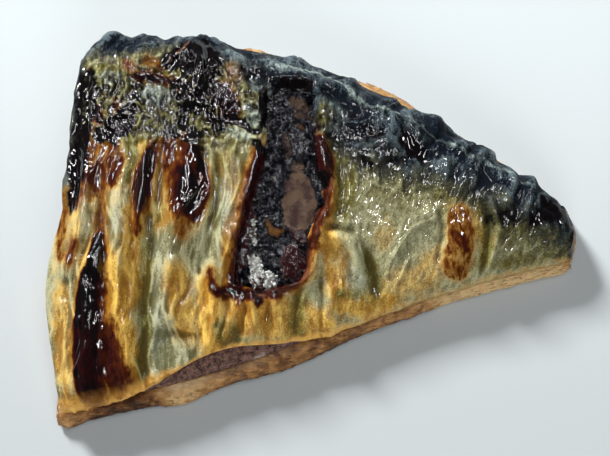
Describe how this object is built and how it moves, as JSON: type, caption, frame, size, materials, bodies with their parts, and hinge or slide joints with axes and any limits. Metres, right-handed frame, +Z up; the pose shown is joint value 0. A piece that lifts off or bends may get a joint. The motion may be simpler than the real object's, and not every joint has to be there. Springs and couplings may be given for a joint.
{
  "type": "grilled fish fillet",
  "caption": "Tail half of a grilled mackerel fillet, skin side up: folded, charred skin burst open over dark meat, on browned flesh that lies flat.",
  "frame": {"origin": "on the flat underside, below the middle of the whole", "axes": "+X from the knife cut to the tail, +Y from the belly edge to the back edge, +Z up through the skin"},
  "size_m": [0.1128, 0.0891, 0.0167],
  "materials": {
    "flesh": "moist, browned, fibrous",
    "dark_meat": "moist, charred crust",
    "skin": "oily, glossy, scorched"
  },
  "bodies": {
    "root": {"flesh": "flesh", "dark_meat": "dark_meat", "skin": "skin"}
  },
  "joints": []
}
